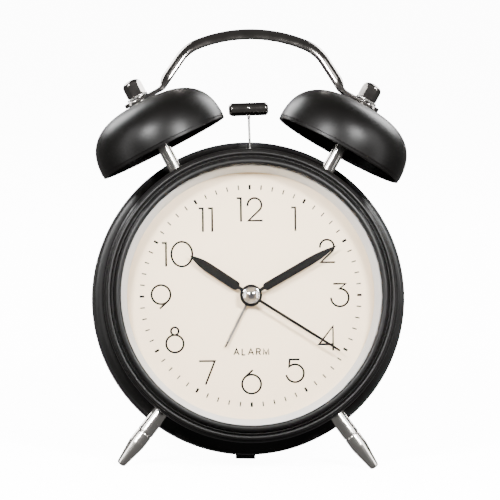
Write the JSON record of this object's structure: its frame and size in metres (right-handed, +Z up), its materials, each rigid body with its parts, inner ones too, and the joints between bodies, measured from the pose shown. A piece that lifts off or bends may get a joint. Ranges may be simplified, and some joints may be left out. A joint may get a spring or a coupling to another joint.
{
  "type": "twin bell alarm clock",
  "caption": "Round twin-bell alarm clock with a domed bell on each shoulder, a swinging hammer, an arched carrying handle, splayed feet and a quartz movement that sets from the back.",
  "frame": {"origin": "centre of the bounding box's base: on the table, midway between the feet in width and midway in depth", "axes": "+Z up, -Y towards the reader of the dial, +X to the reader's right; the dial leans back 10.5 degrees"},
  "size_m": [0.117, 0.0624, 0.1612],
  "materials": {
    "case_black": "satin to semi-gloss black enamel",
    "lens_glass": "clear flat glass",
    "gasket_rubber": "matte black",
    "ring_white": "satin pale grey",
    "dial_cream": "matte warm white printed card",
    "hand_black": "matte black enamel",
    "alarm_hand_grey": "dark grey satin",
    "mirror_chrome": "mirror polished",
    "gunmetal": "dark polished gunmetal plating",
    "bright_nickel": "bright nickel plating",
    "zinc_steel": "plain zinc-plated steel",
    "gear_brass": "machined",
    "white_plastic": "moulded",
    "black_plastic": "fine moulded texture",
    "battery_sleeve": "plain printed sleeve with no marks",
    "spring_wire": "nickel-plated spring wire and strip",
    "coil_copper": "lacquered copper winding",
    "green_board": "solder mask"
  },
  "bodies": {
    "root": {"case_drum": "case_black", "bezel": "case_black", "bell_left": "case_black", "bell_right": "case_black", "lens": "lens_glass", "lens_gasket": "gasket_rubber", "rest_pad": "gasket_rubber", "dial_ring": "ring_white", "dial": "dial_cream", "handle": "gunmetal", "cap_nut_left": "gunmetal", "cap_nut_right": "gunmetal", "bell_post_left": "bright_nickel", "bell_post_right": "bright_nickel", "foot_left": "bright_nickel", "foot_right": "bright_nickel", "lock_washer_left": "zinc_steel", "lock_washer_right": "zinc_steel", "post_nut_left": "zinc_steel", "post_nut_right": "zinc_steel", "foot_nut_left": "zinc_steel", "foot_nut_right": "zinc_steel", "hammer_bracket": "zinc_steel", "back_screw_1": "zinc_steel", "back_screw_2": "zinc_steel", "back_screw_3": "zinc_steel", "stator": "zinc_steel", "bell_motor": "zinc_steel", "movement_plate": "white_plastic", "movement_housing": "white_plastic", "back_cover": "black_plastic", "battery_box": "black_plastic", "battery_lower": "battery_sleeve", "battery_upper": "battery_sleeve", "battery_spring_lower": "spring_wire", "battery_spring_upper": "spring_wire", "battery_contact_lower": "spring_wire", "battery_contact_upper": "spring_wire", "stepper_coil": "coil_copper", "circuit_board": "green_board"},
    "minute": {"minute_hand": "hand_black", "cannon_pinion": "gear_brass"},
    "hour": {"hour_hand": "hand_black", "hour_wheel": "white_plastic"},
    "second": {"second_hand": "hand_black", "second_arbor": "zinc_steel", "hand_cap": "mirror_chrome"},
    "alarm": {"alarm_hand": "alarm_hand_grey", "alarm_wheel": "gear_brass"},
    "time_setter": {"time_setting_arbor": "white_plastic", "time_knob": "black_plastic"},
    "alarm_setter": {"alarm_setting_arbor": "white_plastic", "alarm_knob": "black_plastic"},
    "hammer": {"hammer_head": "gunmetal", "hammer_arm": "zinc_steel"},
    "crank": {"crank_wheel": "white_plastic"},
    "motor_rotor": {"motor_pinion": "gear_brass"},
    "switch_slider": {"alarm_switch": "white_plastic"},
    "battery_lid": {"battery_door": "black_plastic"}
  },
  "joints": [
    {"name": "minute_spin", "type": "hinge", "parent": "root", "child": "minute", "pos_m": [0, -0.00438, 0.0626], "axis": [0, 0.9833, -0.1822], "continuous": true},
    {"name": "hour_spin", "type": "hinge", "parent": "root", "child": "hour", "pos_m": [0, -0.00438, 0.0626], "axis": [0, 0.9833, -0.1822], "continuous": true},
    {"name": "time_set_spin", "type": "hinge", "parent": "root", "child": "time_setter", "pos_m": [-0.012, -0.00438, 0.0626], "axis": [0, 0.9833, -0.1822], "continuous": true},
    {"name": "second_spin", "type": "hinge", "parent": "root", "child": "second", "pos_m": [0, -0.00438, 0.0626], "axis": [0, 0.9833, -0.1822], "continuous": true},
    {"name": "alarm_spin", "type": "hinge", "parent": "root", "child": "alarm", "pos_m": [0, -0.00438, 0.0626], "axis": [0, 0.9833, -0.1822], "continuous": true},
    {"name": "alarm_set_spin", "type": "hinge", "parent": "root", "child": "alarm_setter", "pos_m": [0.012, -0.00438, 0.0626], "axis": [0, 0.9833, -0.1822], "continuous": true},
    {"name": "hammer_swing", "type": "hinge", "parent": "root", "child": "hammer", "pos_m": [0, 0.00364, 0.10586], "axis": [0, 0.9833, -0.1822], "range_deg": [-2, 7.4]},
    {"name": "crank_spin", "type": "hinge", "parent": "root", "child": "crank", "pos_m": [0, 0.00181, 0.09603], "axis": [0, 0.9833, -0.1822], "continuous": true},
    {"name": "motor_spin", "type": "hinge", "parent": "root", "child": "motor_rotor", "pos_m": [0.01, 0.00181, 0.09603], "axis": [0, 0.9833, -0.1822], "continuous": true},
    {"name": "switch_slide", "type": "slide", "parent": "root", "child": "switch_slider", "axis": [1, 0, 0], "range_m": [0, 0.003]},
    {"name": "battery_lid_hinge", "type": "hinge", "parent": "root", "child": "battery_lid", "pos_m": [0, 0.00949, 0.01508], "axis": [-1, 0, 0], "range_deg": [0, 95]}
  ],
  "couplings": [
    {"joint": "hour_spin", "follows": "minute_spin", "ratio": 0.083333},
    {"joint": "time_set_spin", "follows": "minute_spin", "ratio": -0.33333},
    {"joint": "alarm_set_spin", "follows": "alarm_spin", "ratio": -1},
    {"joint": "motor_spin", "follows": "crank_spin", "ratio": -3}
  ]
}
